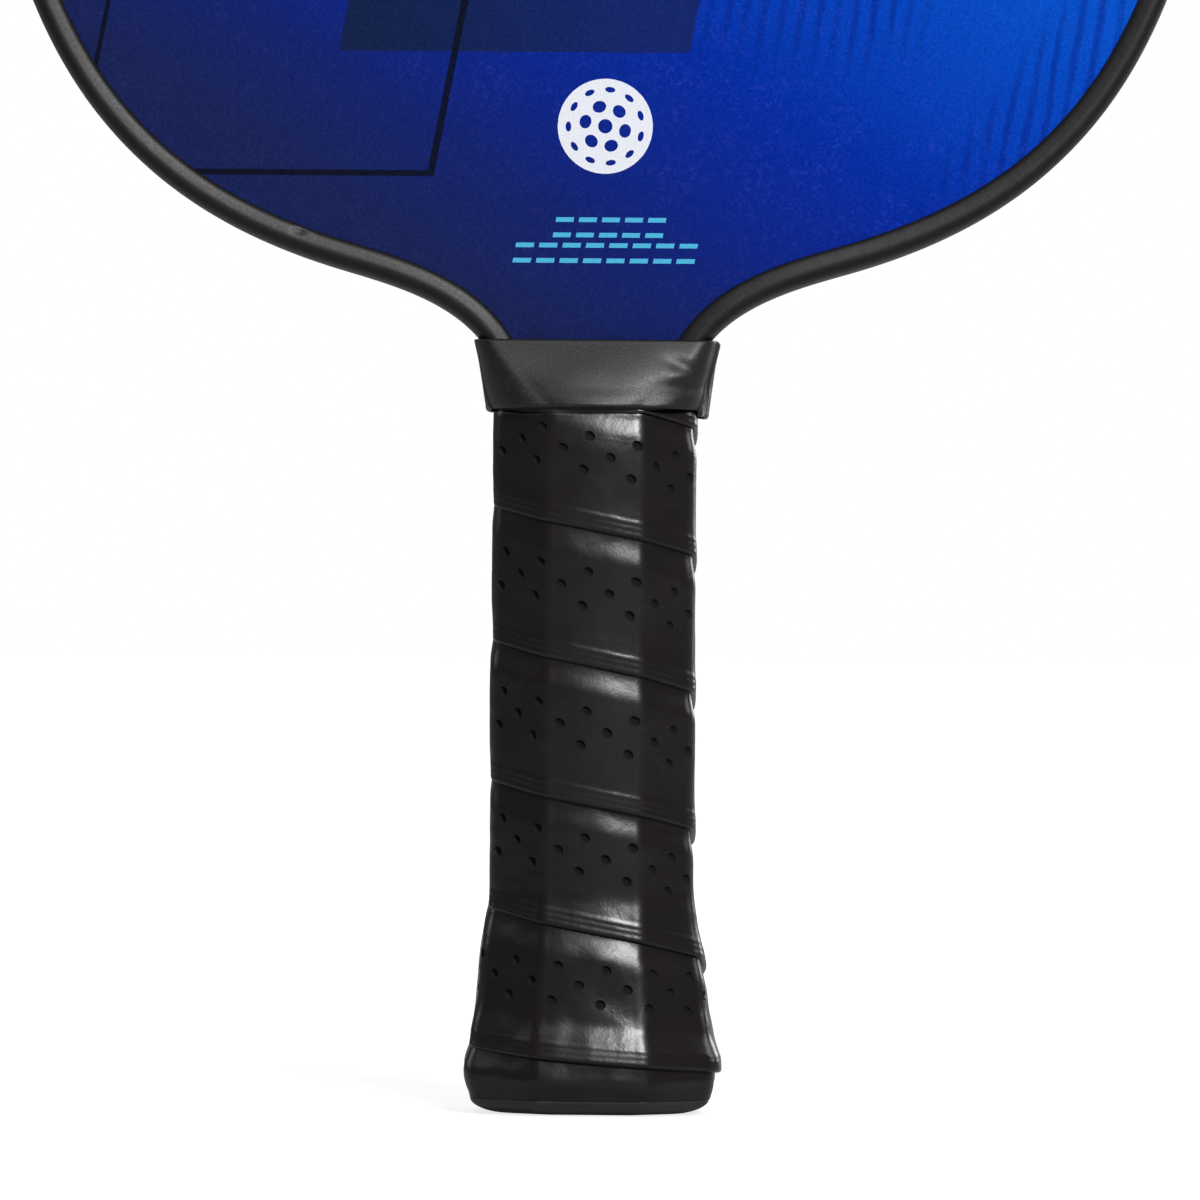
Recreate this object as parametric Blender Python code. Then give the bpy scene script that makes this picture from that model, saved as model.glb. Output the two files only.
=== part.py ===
"""A pickleball paddle, modelled as the separate pieces that it is built from.

Metres, +Z from the butt end to the tip of the head, front face towards -Y.
The origin is the middle of the flat butt end.
"""
import math

import bmesh
import bpy
from mathutils import Vector

# Head, seen from the front: the outer edge of the edge guard
PADDLE_LENGTH = 0.387
HEAD_HALF_WIDTH = 0.1016
WIDEST_Z = 0.254
NECK_HALF_WIDTH = 0.0146
NECK_END_Z = 0.112
SHOULDER_X = 0.0428
SHOULDER_Z = 0.1356
SHOULDER_ANGLE = math.radians(17.2)
EDGE_STEPS = (10, 12, 18)
FIRST_STEP_ON_SHOW = 1

# Blank: the sandwich plate of core and sheets, whose tongue runs down the handle
BLANK_INSET = 0.0017
TONGUE_HALF_WIDTH = 0.0140
TONGUE_NOTCH_Z = 0.1105
TONGUE_END_HALF_WIDTH = 0.0114
TONGUE_END_Z = 0.0036
FILM_INSET = 0.0020
CORE_LAYER = (0.0, 0.0052)
SCRIM_LAYER = (0.0054, 0.00555)
ADHESIVE_LAYER = (0.00575, 0.0059)
SHEET_LAYER = (0.0061, 0.0066)
FILM_LAYER = (0.0068, 0.00715)

# Honeycomb cells of the core
CELL_PITCH = 0.015
CELL_WALL = 0.0012
CORE_RIM = 0.0015

# Edge guard: a U channel, given as inset from the outer edge and distance from the middle plane
GUARD_LEG = 0.0044
GUARD_WEB = 0.0012
GUARD_HALF_THICKNESS = 0.0085
GUARD_LEG_INSIDE = 0.00735
GUARD_TAPE = (0.00135, 0.00155)
GUARD_TAPE_HALF_WIDTH = 0.006

# Handle: eight-sided, wider than thick, with a smaller spigot at its end for the butt cap
HANDLE_HALF_WIDTH = 0.0143
THICKNESS_LESS = 0.0018
FRONT_FACET = 0.49
SIDE_FACET = 0.576
EDGE_ROUND = 0.0010
PALLET_TOP_Z = 0.115
PALLET_RAMP = 0.004
PALLET_RAMP_DROP = 0.003
PALLET_FLOOR = 0.0074
PALLET_TAPE_LAYER = (0.0068, 0.0072)
PALLET_TAPE_HALF_WIDTH = 0.0110
SPIGOT_TOP_Z = 0.0363
SPIGOT_HALF_WIDTH = 0.0125

# Butt cap: a flared cup with a socket for the end of the handle
CAP_TOP_Z = 0.036
CAP_SOCKET_CLEARANCE = 0.0002
CAP_SOCKET_FLOOR_Z = 0.0032
CAP_END_HALF_WIDTH = 0.0134
CAP_RIM = ((0.0004, 0.0160), (0.0010, 0.0179), (0.0016, 0.0187), (0.0022, 0.0188))
CAP_FLARE = (
    (0.0023, 0.0176), (0.0046, 0.0180), (0.0070, 0.0181), (0.0120, 0.0173),
    (0.0180, 0.0163), (0.0260, 0.0156), (0.0310, 0.0150), (0.0360, 0.0144),
)

# Staples through the skirt of the cap
STAPLE_Z = 0.031
STAPLE_SPREAD = 0.0036
STAPLE_CROWN = 0.0050
STAPLE_WIRE = 0.0007
STAPLE_TOP_Y = 0.0128
STAPLE_TIP_Y = 0.0082
STAPLE_CLEARANCE = 0.0002
STAPLE_SLOT_DEPTH = 0.002

# Grip: a foam backing under a perforated skin, measured outwards from the handle
GRIP_BOTTOM_Z = 0.0026
GRIP_TOP_Z = 0.1116
FOAM_LAYER = (0.0002, 0.00105)
SKIN_LAYER = (0.00125, 0.0020)
SKIN_END_Z = 0.1155
SKIN_END_LAYER = (0.0003, 0.00105)

# Finishing tape and rubber collar
TAPE_BOTTOM = (0.1121, 0.0157, 0.01395)
TAPE_STEP_Z = 0.1158
TAPE_TOP = (0.1195, 0.0165, 0.00895)
TAPE_THICKNESS = 0.0002
COLLAR_BOTTOM = (0.1119, 0.01665, 0.0149)
COLLAR_STEP_Z = 0.1158
COLLAR_TOP = (0.1238, 0.0195, 0.0096)
COLLAR_THICKNESS = 0.0006
NECK_FACET_INSET = (0.0015, 0.0013)


# ---------------------------------------------------------------- scene and materials

def clear_scene():
    """Remove whatever objects the scene holds."""
    for item in list(bpy.data.objects):
        bpy.data.objects.remove(item, do_unlink=True)


def make_material(name, colour, roughness, metallic=0.0):
    """A Principled material of one colour."""
    material = bpy.data.materials.new(name)
    material.use_nodes = True
    shader = material.node_tree.nodes["Principled BSDF"]
    shader.inputs["Base Color"].default_value = (*colour, 1.0)
    shader.inputs["Roughness"].default_value = roughness
    shader.inputs["Metallic"].default_value = metallic
    material.diffuse_color = (*colour, 1.0)
    return material


def make_materials():
    """One material for each kind of stuff in the paddle."""
    return {
        "core": make_material("honeycomb_plastic", (0.80, 0.82, 0.80), 0.5),
        "scrim": make_material("polyester_scrim", (0.85, 0.85, 0.82), 0.9),
        "adhesive": make_material("bond_adhesive", (0.75, 0.66, 0.40), 0.4),
        "fibreglass": make_material("fibreglass_sheet", (0.55, 0.60, 0.50), 0.35),
        "graphic": make_material("blue_graphic", (0.008, 0.03, 0.32), 0.4),
        "guard": make_material("guard_rubber", (0.035, 0.035, 0.037), 0.5),
        "tape": make_material("bond_tape", (0.70, 0.70, 0.68), 0.7),
        "pallet": make_material("pallet_foam", (0.60, 0.52, 0.36), 0.8),
        "cap": make_material("cap_plastic", (0.022, 0.022, 0.023), 0.45),
        "staple": make_material("staple_steel", (0.62, 0.62, 0.63), 0.3, 1.0),
        "foam": make_material("grip_foam", (0.10, 0.10, 0.10), 0.9),
        "grip": make_material("grip_skin", (0.018, 0.017, 0.017), 0.4),
        "vinyl": make_material("finishing_vinyl", (0.012, 0.012, 0.012), 0.3),
        "collar": make_material("collar_rubber", (0.06, 0.06, 0.065), 0.55),
    }


# ---------------------------------------------------------------- mesh helpers

def add_object(name, bm, material, smooth_angle=None, wound=False):
    """Close a bmesh off as an object, and turn its faces out unless they are wound that way."""
    if not wound:
        bmesh.ops.recalc_face_normals(bm, faces=bm.faces)
    mesh = bpy.data.meshes.new(name)
    bm.to_mesh(mesh)
    bm.free()
    if smooth_angle is not None:
        mesh.shade_smooth()
        mesh.set_sharp_from_angle(angle=math.radians(smooth_angle))
    item = bpy.data.objects.new(name, mesh)
    bpy.context.collection.objects.link(item)
    if material is not None:
        mesh.materials.append(material)
    return item


def hide_guide(item):
    """Mark an object as a cutter or a guide."""
    item.hide_render = True
    item.display_type = "WIRE"
    return item


def add_boolean(item, other, operation):
    """Cut or join another object with an exact Boolean."""
    modifier = item.modifiers.new(other.name, "BOOLEAN")
    modifier.operation = operation
    modifier.object = other
    modifier.solver = "EXACT"


def add_prism(bm, outline, y_low, y_high):
    """Extrude an outline of (x, z) points from one y to another."""
    bottom = [bm.verts.new((x, y_low, z)) for x, z in outline]
    face = bm.faces.new(bottom)
    result = bmesh.ops.extrude_face_region(bm, geom=[face])
    moved = [part for part in result["geom"] if isinstance(part, bmesh.types.BMVert)]
    bmesh.ops.translate(bm, verts=moved, vec=(0.0, y_high - y_low, 0.0))


def plate(name, outline, layer, side, material):
    """A flat sheet on one side of the middle plane: side is -1 at the front, 1 at the rear."""
    bm = bmesh.new()
    add_prism(bm, outline, side * layer[0], side * layer[1])
    return add_object(name, bm, material)


def loft(name, rings, material, closed=False, smooth_angle=40):
    """Skin a row of equal rings, with capped ends or joined back to the first ring.

    The rings of a closed loft run anticlockwise from above, up its outside and down its inside.
    """
    bm = bmesh.new()
    rows = [[bm.verts.new(point) for point in ring] for ring in rings]
    pairs = list(zip(rows, rows[1:]))
    if closed:
        pairs.append((rows[-1], rows[0]))
    else:
        bm.faces.new(rows[0])
        bm.faces.new(rows[-1])
    count = len(rows[0])
    for low, high in pairs:
        for i in range(count):
            j = (i + 1) % count
            bm.faces.new((low[i], low[j], high[j], high[i]))
    return add_object(name, bm, material, smooth_angle, wound=closed)


# ---------------------------------------------------------------- outline of the head

def edge_curves():
    """The right half of the outer edge as three Bezier curves: neck, lower lobe, upper lobe."""
    along = Vector((math.cos(SHOULDER_ANGLE), math.sin(SHOULDER_ANGLE)))
    neck_end = Vector((NECK_HALF_WIDTH, NECK_END_Z))
    shoulder = Vector((SHOULDER_X, SHOULDER_Z))
    widest = Vector((HEAD_HALF_WIDTH, WIDEST_Z))
    tip = Vector((0.0, PADDLE_LENGTH))
    neck = (neck_end, neck_end + Vector((0.0, 0.0170)), shoulder - along * 0.0110, shoulder)
    lower = (shoulder, shoulder + along * 0.0437, widest - Vector((0.0, 0.0747)), widest)
    upper = (widest, widest + Vector((0.0, 0.0840)), tip + Vector((0.0650, 0.0)), tip)
    return neck, lower, upper


def curve_point(curve, t, inset):
    """A point of a Bezier curve, moved towards the inside of the head by the inset."""
    a, b, c, d = curve
    s = 1.0 - t
    point = a * s ** 3 + b * (3 * s * s * t) + c * (3 * s * t * t) + d * t ** 3
    slope = (b - a) * (s * s) + (c - b) * (2 * s * t) + (d - c) * (t * t)
    slope.normalize()
    return point + Vector((-slope.y, slope.x)) * inset


def half_edge(inset, first_step=0):
    """The right half of the edge, from a step of the neck to the tip."""
    points = []
    for curve, steps in zip(edge_curves(), EDGE_STEPS):
        points += [curve_point(curve, i / steps, inset) for i in range(first_step, steps)]
        first_step = 0
    points.append(Vector((0.0, PADDLE_LENGTH - inset)))
    return points


def whole_edge(inset, first_step=0):
    """The edge from the right side of the neck, over the tip, to the left side."""
    right = half_edge(inset, first_step)
    left = [Vector((-point.x, point.y)) for point in reversed(right[:-1])]
    return right + left


def blank_outline(rim=0.0):
    """The head and its tongue, which narrows again inside the butt cap."""
    edge = [tuple(point) for point in whole_edge(BLANK_INSET + rim)]
    half = TONGUE_HALF_WIDTH - rim
    end_half = TONGUE_END_HALF_WIDTH - rim
    right = [
        (end_half, TONGUE_END_Z + rim), (end_half, SPIGOT_TOP_Z + rim),
        (half, SPIGOT_TOP_Z + rim), (half, TONGUE_NOTCH_Z),
    ]
    left = [(-x, z) for x, z in reversed(right)]
    return right + edge + left


# ---------------------------------------------------------------- blank

def is_inside(x, z, outline):
    """Whether a point lies inside a closed outline, by counting crossings."""
    inside = False
    for (x0, z0), (x1, z1) in zip(outline, outline[1:] + outline[:1]):
        if (z0 > z) != (z1 > z) and x < x0 + (z - z0) / (z1 - z0) * (x1 - x0):
            inside = not inside
    return inside


def hexagon(x, z):
    """A honeycomb cell, with a corner up."""
    radius = (CELL_PITCH - CELL_WALL) / math.sqrt(3.0)
    turns = [math.radians(30 + 60 * i) for i in range(6)]
    return [(x + radius * math.cos(turn), z + radius * math.sin(turn)) for turn in turns]


def cell_cutter():
    """All the cells that lie wholly inside the rim of the core."""
    limit = blank_outline(CORE_RIM)
    bm = bmesh.new()
    row_height = CELL_PITCH * math.sqrt(3.0) / 2.0
    rows = int(PADDLE_LENGTH / row_height) + 1
    columns = int(HEAD_HALF_WIDTH / CELL_PITCH) + 1
    for row in range(rows):
        for column in range(-columns, columns + 1):
            cell = hexagon((column + 0.5 * (row % 2)) * CELL_PITCH, row * row_height)
            if all(is_inside(x, z, limit) for x, z in cell):
                add_prism(bm, cell, -2 * CORE_LAYER[1], 2 * CORE_LAYER[1])
    return hide_guide(add_object("cell_cutter", bm, None))


def build_core(materials):
    """The honeycomb plate, its cells open to both faces."""
    bm = bmesh.new()
    add_prism(bm, blank_outline(), -CORE_LAYER[1], CORE_LAYER[1])
    core = add_object("honeycomb_core", bm, materials["core"])
    add_boolean(core, cell_cutter(), "DIFFERENCE")
    return core


def build_sheets(materials):
    """Scrim, adhesive, fibreglass and graphic film on the front and on the rear."""
    outline = blank_outline()
    film = [tuple(point) for point in whole_edge(FILM_INSET, FIRST_STEP_ON_SHOW)]
    sheets = []
    for place, side in (("front", -1), ("rear", 1)):
        sheets.append(plate(f"{place}_core_scrim", outline, SCRIM_LAYER, side, materials["scrim"]))
        sheets.append(
            plate(f"{place}_adhesive_film", outline, ADHESIVE_LAYER, side, materials["adhesive"])
        )
        sheets.append(
            plate(f"{place}_face_sheet", outline, SHEET_LAYER, side, materials["fibreglass"])
        )
        sheets.append(plate(f"{place}_graphic_film", film, FILM_LAYER, side, materials["graphic"]))
    return sheets


# ---------------------------------------------------------------- edge guard

def guard_section():
    """Half of the U, from the middle of its back to the inside of its web."""
    return (
        (0.0, 0.0045), (0.0004, 0.0063), (0.0011, 0.0076), (0.0023, 0.0084),
        (0.0034, GUARD_HALF_THICKNESS), (0.0041, 0.0083), (GUARD_LEG, 0.0079),
        (GUARD_LEG, GUARD_LEG_INSIDE), (GUARD_WEB, GUARD_LEG_INSIDE),
    )


def sweep_edge(name, section, material):
    """Sweep a section of (inset, y) points round the edge of the head."""
    edges = [whole_edge(inset, FIRST_STEP_ON_SHOW) for inset, _ in section]
    rings = []
    for station in zip(*edges):
        rings.append([(point.x, y, point.y) for point, (_, y) in zip(station, section)])
    return loft(name, rings, material)


def build_guard(materials):
    """The channel round the edge of the head, which ends under the collar."""
    half = guard_section()
    section = [*half, *((inset, -y) for inset, y in reversed(half))]
    return sweep_edge("edge_guard", section, materials["guard"])


def build_guard_tape(materials):
    """The adhesive strip between the blank's edge and the guard."""
    inner, outer = GUARD_TAPE[1], GUARD_TAPE[0]
    half = GUARD_TAPE_HALF_WIDTH
    section = ((outer, -half), (inner, -half), (inner, half), (outer, half))
    return sweep_edge("edge_guard_tape", section, materials["tape"])


# ---------------------------------------------------------------- eight-sided sections

def octagon(half_x, half_y, facet_x, facet_y):
    """The corners of an eight-sided section, anticlockwise from above."""
    quarter = [(half_x, facet_y), (facet_x, half_y)]
    upper = quarter + [(-x, y) for x, y in reversed(quarter)]
    return upper + [(-x, -y) for x, y in upper]


def soften(before, corner, after, size):
    """Two points a small way from a corner along its two edges."""
    corner = Vector(corner)
    return [corner + (Vector(other) - corner).normalized() * size for other in (before, after)]


def rounded(corners, size):
    """An outline with each corner softened."""
    points = []
    for i, corner in enumerate(corners):
        points += soften(corners[i - 1], corner, corners[(i + 1) % len(corners)], size)
    return points


def handle_ring(z, half_width, offset=0.0):
    """A level ring round the handle, outside the given half width by the offset."""
    half_x = half_width + offset
    half_y = half_x - THICKNESS_LESS
    corners = octagon(half_x, half_y, FRONT_FACET * half_x, SIDE_FACET * half_y)
    return [(point.x, point.y, z) for point in rounded(corners, EDGE_ROUND)]


def neck_ring(z, half_x, half_y, blend):
    """A level ring that turns from the handle's section (0) into the neck's flat one (1)."""
    wide = (half_x - NECK_FACET_INSET[0], half_y - NECK_FACET_INSET[1])
    round_ones = (FRONT_FACET * half_x, SIDE_FACET * half_y)
    facet_x = round_ones[0] + (wide[0] - round_ones[0]) * blend
    facet_y = round_ones[1] + (wide[1] - round_ones[1]) * blend
    corners = octagon(half_x, half_y, facet_x, facet_y)
    return [(point.x, point.y, z) for point in rounded(corners, EDGE_ROUND)]


# ---------------------------------------------------------------- handle pallets

def thinner(ring, drop):
    """A level ring with its front and rear facets brought nearer to the middle plane."""
    return [(x, math.copysign(max(abs(y) - drop, 0.0), y), z) for x, y, z in ring]


def eight_sided_block(name, levels, material):
    """A solid block; each level is its height, its half width and how much thinner it is."""
    rings = [thinner(handle_ring(z, half_width), drop) for z, half_width, drop in levels]
    return loft(name, rings, material, smooth_angle=20)


def strip_outline(half_width, low, high):
    """A plain upright rectangle."""
    return [(half_width, low), (half_width, high), (-half_width, high), (-half_width, low)]


def build_pallets(materials):
    """The two blocks that make the flat tongue into an eight-sided handle, and their tapes.

    Each is an eight-sided block with a spigot, cut away from the blank's surface to the far side.
    """
    body_levels = (
        (SPIGOT_TOP_Z, HANDLE_HALF_WIDTH, 0.0),
        (PALLET_TOP_Z - PALLET_RAMP, HANDLE_HALF_WIDTH, 0.0),
        (PALLET_TOP_Z, HANDLE_HALF_WIDTH, PALLET_RAMP_DROP),
    )
    spigot_levels = (
        (TONGUE_END_Z, SPIGOT_HALF_WIDTH, 0.0),
        (SPIGOT_TOP_Z + PALLET_RAMP, SPIGOT_HALF_WIDTH, 0.0),
    )
    far_side = (PALLET_FLOOR, -2 * HANDLE_HALF_WIDTH)
    waste_outline = strip_outline(2 * HANDLE_HALF_WIDTH, 0.0, 2 * NECK_END_Z)
    tape_outline = strip_outline(PALLET_TAPE_HALF_WIDTH, TONGUE_END_Z, PALLET_TOP_Z)
    pallets = []
    for place, side in (("front", -1), ("rear", 1)):
        pallet = eight_sided_block(f"{place}_handle_pallet", body_levels, materials["pallet"])
        spigot = hide_guide(eight_sided_block(f"{place}_spigot_guide", spigot_levels, None))
        waste = hide_guide(plate(f"{place}_waste_cutter", waste_outline, far_side, side, None))
        add_boolean(pallet, spigot, "UNION")
        add_boolean(pallet, waste, "DIFFERENCE")
        pallets.append(pallet)
        plate(f"{place}_pallet_tape", tape_outline, PALLET_TAPE_LAYER, side, materials["tape"])
    return pallets


# ---------------------------------------------------------------- butt cap and staples

def build_cap(materials):
    """The flared cup, from its flat end up over its rim and flare, then down its socket."""
    rings = [handle_ring(0.0, CAP_END_HALF_WIDTH)]
    rings += [handle_ring(z, half) for z, half in CAP_RIM + CAP_FLARE]
    for z in (CAP_TOP_Z, CAP_SOCKET_FLOOR_Z):
        rings.append(handle_ring(z, SPIGOT_HALF_WIDTH, CAP_SOCKET_CLEARANCE))
    return loft("butt_cap", rings, materials["cap"], smooth_angle=50)


def add_staple(bm, x, side, clearance, crown_top):
    """A U of flat wire, crown outwards and legs into the pallet."""
    outer = STAPLE_CROWN / 2 + clearance
    inner = STAPLE_CROWN / 2 - STAPLE_WIRE - clearance
    under = STAPLE_TOP_Y - STAPLE_WIRE - clearance
    tip = STAPLE_TIP_Y - clearance
    section = [
        (-outer, tip), (-inner, tip), (-inner, under), (inner, under),
        (inner, tip), (outer, tip), (outer, crown_top), (-outer, crown_top),
    ]
    half = STAPLE_WIRE / 2 + clearance
    low = [bm.verts.new((x + dx, side * y, STAPLE_Z - half)) for dx, y in section]
    face = bm.faces.new(low)
    result = bmesh.ops.extrude_face_region(bm, geom=[face])
    moved = [part for part in result["geom"] if isinstance(part, bmesh.types.BMVert)]
    bmesh.ops.translate(bm, verts=moved, vec=(0.0, 0.0, 2 * half))


def build_staples(materials, cap, pallets):
    """Four staples, and the slots that they make in the cap and in the pallets."""
    slots = bmesh.new()
    for place, side in (("front", -1), ("rear", 1)):
        for hand, x in (("left", -STAPLE_SPREAD), ("right", STAPLE_SPREAD)):
            bm = bmesh.new()
            add_staple(bm, x, side, 0.0, STAPLE_TOP_Y)
            add_object(f"cap_staple_{place}_{hand}", bm, materials["staple"])
            add_staple(slots, x, side, STAPLE_CLEARANCE, STAPLE_TOP_Y + STAPLE_SLOT_DEPTH)
    cutter = hide_guide(add_object("staple_cutter", slots, None))
    for item in (cap, *pallets):
        add_boolean(item, cutter, "DIFFERENCE")


# ---------------------------------------------------------------- grip, tape and collar

def grip_levels():
    """Heights up the grip, each with the half width of what is under it."""
    flare = [level for level in CAP_FLARE if level[0] > GRIP_BOTTOM_Z]
    straight = [(CAP_TOP_Z + 0.006, HANDLE_HALF_WIDTH), (GRIP_TOP_Z, HANDLE_HALF_WIDTH)]
    return [(GRIP_BOTTOM_Z, CAP_FLARE[0][1])] + flare + straight


def build_grip(materials):
    """The foam backing, and the skin whose end is squeezed in under the finishing tape."""
    levels = grip_levels()
    outside = [handle_ring(z, half, FOAM_LAYER[1]) for z, half in levels]
    inside = [handle_ring(z, half, FOAM_LAYER[0]) for z, half in reversed(levels)]
    loft("grip_foam_backing", outside + inside, materials["foam"], closed=True)
    end = [(GRIP_TOP_Z + 0.0004, HANDLE_HALF_WIDTH), (SKIN_END_Z, HANDLE_HALF_WIDTH)]
    outside = [handle_ring(z, half, SKIN_LAYER[1]) for z, half in levels]
    outside += [handle_ring(z, half, SKIN_END_LAYER[1]) for z, half in end]
    inside = [handle_ring(z, half, SKIN_END_LAYER[0]) for z, half in reversed(end)]
    inside += [handle_ring(z, half, SKIN_LAYER[0]) for z, half in reversed(levels)]
    loft("grip_skin", outside + inside, materials["grip"], closed=True)


def band(name, bottom, step_z, top, thickness, material):
    """A band stretched from the handle over the end of the pallets to the flat neck."""
    levels = ((*bottom, 0.0), (step_z, *bottom[1:], 0.0), (*top, 1.0))
    outside = [neck_ring(*level) for level in levels]
    inside = [
        neck_ring(z, half_x - thickness, half_y - thickness, blend)
        for z, half_x, half_y, blend in reversed(levels)
    ]
    return loft(name, outside + inside, material, closed=True)


def build_bands(materials):
    """The finishing tape, and the rubber collar over it."""
    band("finishing_tape", TAPE_BOTTOM, TAPE_STEP_Z, TAPE_TOP, TAPE_THICKNESS, materials["vinyl"])
    band(
        "rubber_collar", COLLAR_BOTTOM, COLLAR_STEP_Z, COLLAR_TOP, COLLAR_THICKNESS,
        materials["collar"],
    )


# ---------------------------------------------------------------- assembly

def build_paddle():
    """Make every piece of the paddle in place."""
    clear_scene()
    materials = make_materials()
    build_core(materials)
    build_sheets(materials)
    build_guard(materials)
    build_guard_tape(materials)
    pallets = build_pallets(materials)
    cap = build_cap(materials)
    build_staples(materials, cap, pallets)
    build_grip(materials)
    build_bands(materials)


build_paddle()
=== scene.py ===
"""The look of a pickleball paddle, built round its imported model.

Metres, +Z from the butt end to the tip of the head, front face towards -Y.
Tables of sizes are in millimetres and are turned into metres where they are read. Places
round the handle are in turns, from the middle of its front towards +X.
"""

from math import atan2, cos, hypot, pi, radians, sin

import bmesh
import bpy
import numpy as np
from mathutils import Matrix, Vector, noise


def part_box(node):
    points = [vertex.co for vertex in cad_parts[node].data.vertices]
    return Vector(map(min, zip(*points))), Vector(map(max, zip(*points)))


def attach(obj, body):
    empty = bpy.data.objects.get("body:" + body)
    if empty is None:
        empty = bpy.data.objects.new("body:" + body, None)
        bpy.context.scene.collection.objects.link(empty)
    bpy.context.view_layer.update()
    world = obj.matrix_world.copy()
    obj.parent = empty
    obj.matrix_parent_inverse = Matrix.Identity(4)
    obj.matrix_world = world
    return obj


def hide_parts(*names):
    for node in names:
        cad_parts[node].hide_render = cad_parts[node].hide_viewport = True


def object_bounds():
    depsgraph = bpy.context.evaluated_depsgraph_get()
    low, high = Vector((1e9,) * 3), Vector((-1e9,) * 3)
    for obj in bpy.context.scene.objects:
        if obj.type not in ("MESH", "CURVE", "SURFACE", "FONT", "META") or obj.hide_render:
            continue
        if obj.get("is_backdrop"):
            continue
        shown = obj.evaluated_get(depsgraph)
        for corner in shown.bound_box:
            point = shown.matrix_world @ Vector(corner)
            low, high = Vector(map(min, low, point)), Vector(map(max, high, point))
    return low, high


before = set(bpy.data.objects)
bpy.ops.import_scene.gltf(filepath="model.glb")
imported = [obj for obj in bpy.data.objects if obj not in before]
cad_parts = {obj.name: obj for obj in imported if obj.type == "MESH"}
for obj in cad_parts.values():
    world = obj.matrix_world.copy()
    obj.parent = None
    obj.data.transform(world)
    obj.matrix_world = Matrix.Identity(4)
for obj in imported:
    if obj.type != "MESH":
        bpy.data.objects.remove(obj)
CAD_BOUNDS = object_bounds()

MM = 0.001
BODY = "root"

# Head: the outer edge of the guard, as three Bezier curves up its right half
PADDLE_LENGTH = CAD_BOUNDS[1].z
HEAD_HALF_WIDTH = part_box("edge_guard")[1].x
WIDEST_Z = 254 * MM
NECK_END = (14.6 * MM, 112 * MM)
SHOULDER = (42.8 * MM, 135.6 * MM)
SHOULDER_ANGLE = radians(17.2)
EDGE_STEPS = (80, 180, 150)
HIDDEN_EDGE_STEPS = 10
FILM_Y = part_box("rear_graphic_film")[1].y

# Edge guard: half of its U section, as inset from the outer edge and distance from the middle
GUARD_OUTSIDE = (
    (0.0, 0.0), (0.0, 2.4), (0.03, 4.8), (0.25, 6.6), (0.75, 7.85), (1.4, 8.36),
    (2.1, 8.46), (2.8, 8.34), (3.5, 8.16), (3.95, 7.96), (4.28, 7.66), (4.4, 7.36),
)
GUARD_INSIDE = ((4.3, 7.22), (2.6, 7.3), (1.35, 7.35), (1.2, 7.2), (1.2, 3.5))
GUARD_COVER_Y = 6 * MM
GUARD_WAVES = ((0.045, 22, 3.1), (0.012, 4, 5.7))
GUARD_SET_BACK = 0.05 * MM
GUARD_NICK = (-47.5 * MM, 140.8 * MM)
NICK_DEPTH = 0.32 * MM
NICK_BURR = 0.10 * MM

# Handle: eight-sided under the grip, wider than thick, flared by the butt cap, whose half
# width is given at each height
HANDLE_HALF_WIDTH = 14.3 * MM
THICKNESS_LESS = 1.8 * MM
FRONT_FACET = 0.49
FRONT_FACET_SPREAD = 0.75
FACET_CROWN = 0.42 * MM
SIDE_CROWN_SHARE = 0.3
SIDE_FACET = 0.576
CORNER_INSET = 2.2 * MM
FLARE = (
    (2.3, 17.6), (4.6, 18.0), (7.0, 18.1), (12.0, 17.3), (18.0, 16.3),
    (26.0, 15.6), (31.0, 15.0), (36.0, 14.4), (44.0, 14.3), (60.0, 14.3),
)

# Grip tape: the height of its lower edge at each turn round the handle, counted down from
# the collar, where a whole number is the middle of the front
SEAM_HEIGHTS = (
    (-1.3, 140.0), (0.0, 113.5), (1.0, 93.2), (2.0, 71.5), (3.0, 49.3), (4.0, 29.1),
    (4.5, 17.6), (4.75, 11.8), (5.0, 8.5), (5.25, 6.4), (5.5, 4.7), (6.0, 2.45), (8.0, 2.45),
)
TAPE_TURNS = (-1.06, 6.02)
TAPE_TOP_Z = 114.8 * MM
TAPE_OVERLAP = 3 * MM
TAPE_GIRTH = 103.68 * MM
GIRTH_GROWTH = 1.4 * pi

# Its outer surface: how far it stands off the handle, and at each turn how deep the seam above
# presses it in and how much thicker it is along its lower edge, where it lies on the turn below
TAPE_REACH = 1.45 * MM
SAG_WIDTH = 4.6 * MM
SEAM_SAG = (
    (-1.1, 0.48), (0, 0.48), (1, 0.45), (2, 0.66), (3, 0.50), (4, 0.50), (5, 0.64), (6.1, 0.5),
)
PLAIN_STEP = 0.16
TAPE_STEP = (
    (-1.1, PLAIN_STEP), (3.3, PLAIN_STEP), (3.9, 0.40), (4.2, 0.40), (4.6, PLAIN_STEP),
    (6.1, PLAIN_STEP),
)
STEP_WIDENING = 11
GROOVES = (1.15 * MM, 2.05 * MM)
GROOVE_WIDTH = 0.28 * MM
TAPE_WAVES = ((0.11, 9, 1.3), (0.03, 3, 8.1))
LOWER_TAPE_WAVES = ((0.17, 4.5, 2.6),)

# Where it differs: the lap is pressed flat round the left side, the tape swells out at the
# right above the cap, hugs the cap's rim, and is squeezed and rounded under the collar
PRESSED_SIDE = (0.77, 0.11)
SWOLLEN_SIDE = (0.26, 0.10)
SEAM_FILL = 0.22 * MM
EDGE_PRESS = 0.40 * MM
TAPE_SWELL = 0.55 * MM
TAPE_TUCK = 0.45 * MM
TAPE_END_SQUEEZE = 0.65 * MM
TAPE_END_SAG = 0.45 * MM
TAPE_TOP_ROUNDING = 0.8 * MM

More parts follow.
